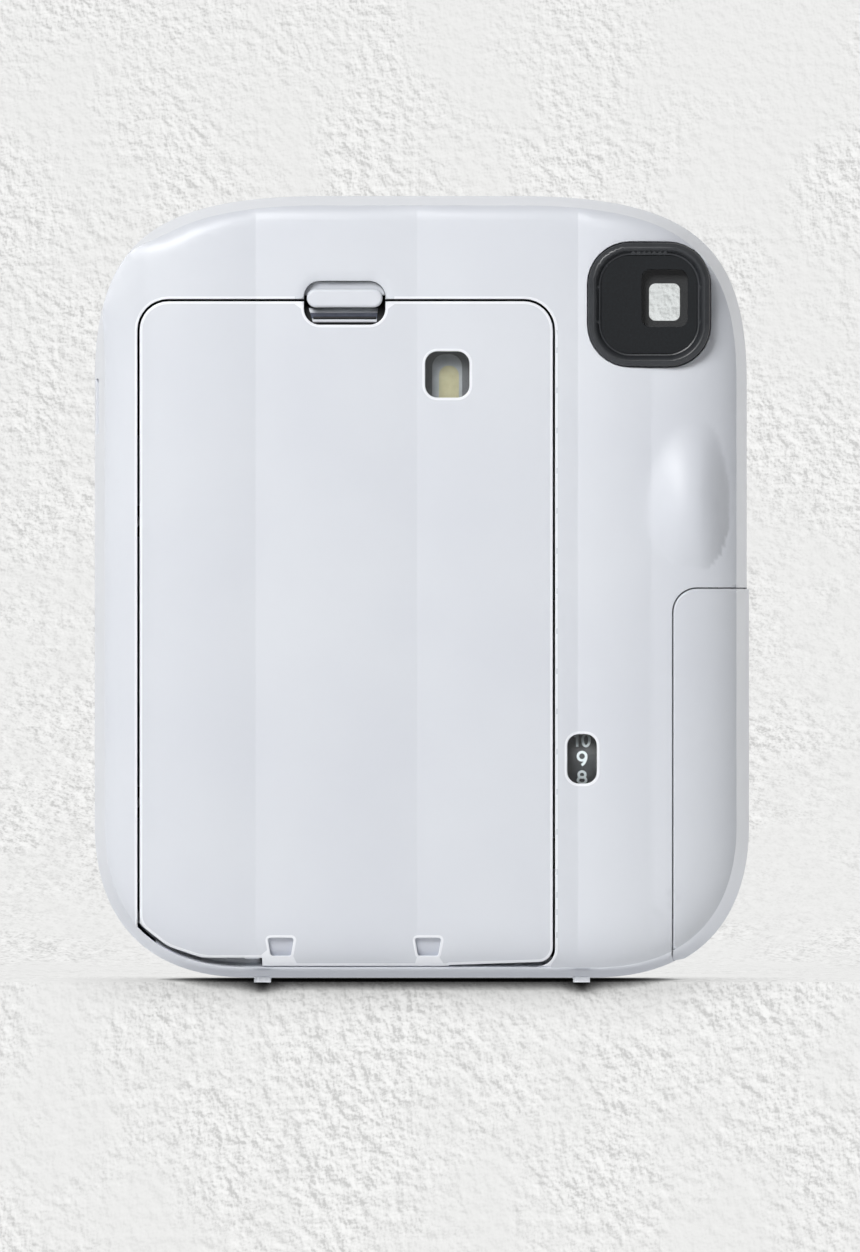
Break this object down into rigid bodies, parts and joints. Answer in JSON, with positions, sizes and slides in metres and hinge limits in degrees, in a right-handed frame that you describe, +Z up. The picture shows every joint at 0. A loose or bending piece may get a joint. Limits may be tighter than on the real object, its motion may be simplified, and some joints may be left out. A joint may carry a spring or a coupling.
{
  "type": "instant camera",
  "caption": "Upright instant film camera with a hinged fluted film door, squircle eyepiece, twist-out lens, front flash and a sliding battery cover.",
  "frame": {"origin": "on the table, under the middle of the camera's overall box", "axes": "+Z up, +Y the way the lens looks, +X to the user's right as they look through the finder"},
  "size_m": [0.1026, 0.067, 0.123],
  "materials": {
    "white_abs": "satin moulded",
    "black_abs": "matt moulded",
    "soft_black": "satin",
    "clear_acrylic": "polished",
    "optical_glass": "polished, coated",
    "pale_trim": "satin moulded",
    "silver_trim": "fine metallic",
    "mirror_face": "mirror",
    "steel": "drawn",
    "nickel": "plated",
    "brass": "turned",
    "grip_rubber": "ground",
    "seal_foam": "open cell",
    "nylon": "moulded",
    "pack_plastic": "matt moulded",
    "pack_yellow": "printed",
    "film_card": "coated film",
    "board_green": "solder mask",
    "cell_wrap": "shrink sleeve",
    "capacitor_sleeve": "shrink sleeve"
  },
  "bodies": {
    "root": {"rear_cover": "white_abs", "front_cover": "white_abs", "door_hinge_pin": "steel", "light_seal": "seal_foam", "film_chamber": "black_abs", "chamber_screws": "steel", "film_pack": "pack_plastic", "pack_mark": "pack_yellow", "film_sheets": "film_card", "light_cone": "black_abs", "roller_frame": "black_abs", "idler_axle": "steel", "gear_plate": "steel", "film_motor": "nickel", "exit_lip": "soft_black", "eyepiece_ring": "soft_black", "eyepiece_plate": "black_abs", "eyepiece_lens": "optical_glass", "finder_tube": "black_abs", "finder_front_window": "clear_acrylic", "lens_mount": "white_abs", "flash_window": "clear_acrylic", "flash_reflector": "nickel", "flash_tube": "optical_glass", "flash_capacitor": "capacitor_sleeve", "sensor_window": "clear_acrylic", "button_spring": "steel", "button_switch": "black_abs", "circuit_board": "board_green", "battery_box": "black_abs", "battery_contacts": "nickel", "battery_cells": "cell_wrap", "counter_spindle": "steel", "counter_window": "clear_acrylic", "strap_bar": "steel"},
    "film_door": {"film_door": "white_abs", "check_window": "clear_acrylic", "pressure_springs": "steel", "latch_spring": "steel"},
    "door_latch": {"door_latch": "pale_trim"},
    "battery_cover": {"battery_cover": "white_abs"},
    "twist_ring": {"twist_ring": "pale_trim"},
    "lens_tube": {"lens_tube": "silver_trim", "lens_bezel": "black_abs", "front_glass": "optical_glass", "rear_glass": "optical_glass", "selfie_mirror": "mirror_face", "shutter_plate": "black_abs"},
    "shutter_blade": {"shutter_blade": "steel"},
    "shutter_button": {"shutter_button": "silver_trim"},
    "counter_drum": {"counter_drum": "black_abs"},
    "rear_roller": {"rear_roller": "grip_rubber", "rear_roller_gear": "nylon"},
    "front_roller": {"front_roller": "grip_rubber", "front_roller_gear": "nylon"},
    "idler_gear": {"idler_gear": "nylon"},
    "motor_pinion": {"motor_pinion": "brass"}
  },
  "joints": [
    {"name": "door_hinge", "type": "hinge", "parent": "root", "child": "film_door", "pos_m": [-0.0104, -0.0273, 0.0048], "axis": [1, 0, 0], "range_deg": [0, 90]},
    {"name": "latch_slide", "type": "slide", "parent": "film_door", "child": "door_latch", "axis": [0, 0, -1], "range_m": [0, 0.0025], "stiffness_N_per_m": 150, "springref_m": -0.0005, "deforming": ["latch_spring"]},
    {"name": "battery_cover_slide", "type": "slide", "parent": "root", "child": "battery_cover", "axis": [0, 0, -1], "range_m": [0, 0.008]},
    {"name": "twist", "type": "hinge", "parent": "root", "child": "twist_ring", "pos_m": [-0.0118, 0.02, 0.053], "axis": [0, 1, 0], "range_deg": [0, 90]},
    {"name": "lens_slide", "type": "slide", "parent": "root", "child": "lens_tube", "axis": [0, 1, 0], "range_m": [0, 0.008]},
    {"name": "shutter_swing", "type": "hinge", "parent": "lens_tube", "child": "shutter_blade", "pos_m": [-0.0013, 0.0256, 0.053], "axis": [0, 1, 0], "range_deg": [0, 55], "stiffness_Nm_per_rad": 0.0003, "springref_deg": -11.46},
    {"name": "button_press", "type": "slide", "parent": "root", "child": "shutter_button", "axis": [0, -1, 0], "range_m": [0, 0.0012], "stiffness_N_per_m": 300, "springref_m": -0.0005, "deforming": ["button_spring"]},
    {"name": "counter_turn", "type": "hinge", "parent": "root", "child": "counter_drum", "pos_m": [0.02495, -0.022, 0.0349], "axis": [1, 0, 0], "range_deg": [-270, 60]},
    {"name": "rear_roller_spin", "type": "hinge", "parent": "root", "child": "rear_roller", "pos_m": [-0.0118, -0.01315, 0.1103], "axis": [1, 0, 0], "continuous": true},
    {"name": "front_roller_spin", "type": "hinge", "parent": "root", "child": "front_roller", "pos_m": [-0.0118, -0.00485, 0.1103], "axis": [1, 0, 0], "continuous": true},
    {"name": "idler_spin", "type": "hinge", "parent": "root", "child": "idler_gear", "pos_m": [0.0222, -0.01315, 0.09702], "axis": [1, 0, 0], "continuous": true},
    {"name": "pinion_spin", "type": "hinge", "parent": "root", "child": "motor_pinion", "pos_m": [0.0222, -0.01315, 0.0854], "axis": [1, 0, 0], "continuous": true}
  ],
  "couplings": [
    {"joint": "lens_slide", "follows": "twist", "m_per_rad": 0.005093},
    {"joint": "front_roller_spin", "follows": "rear_roller_spin", "ratio": -1},
    {"joint": "idler_spin", "follows": "rear_roller_spin", "ratio": -0.45455},
    {"joint": "pinion_spin", "follows": "rear_roller_spin", "ratio": 1.6667}
  ]
}
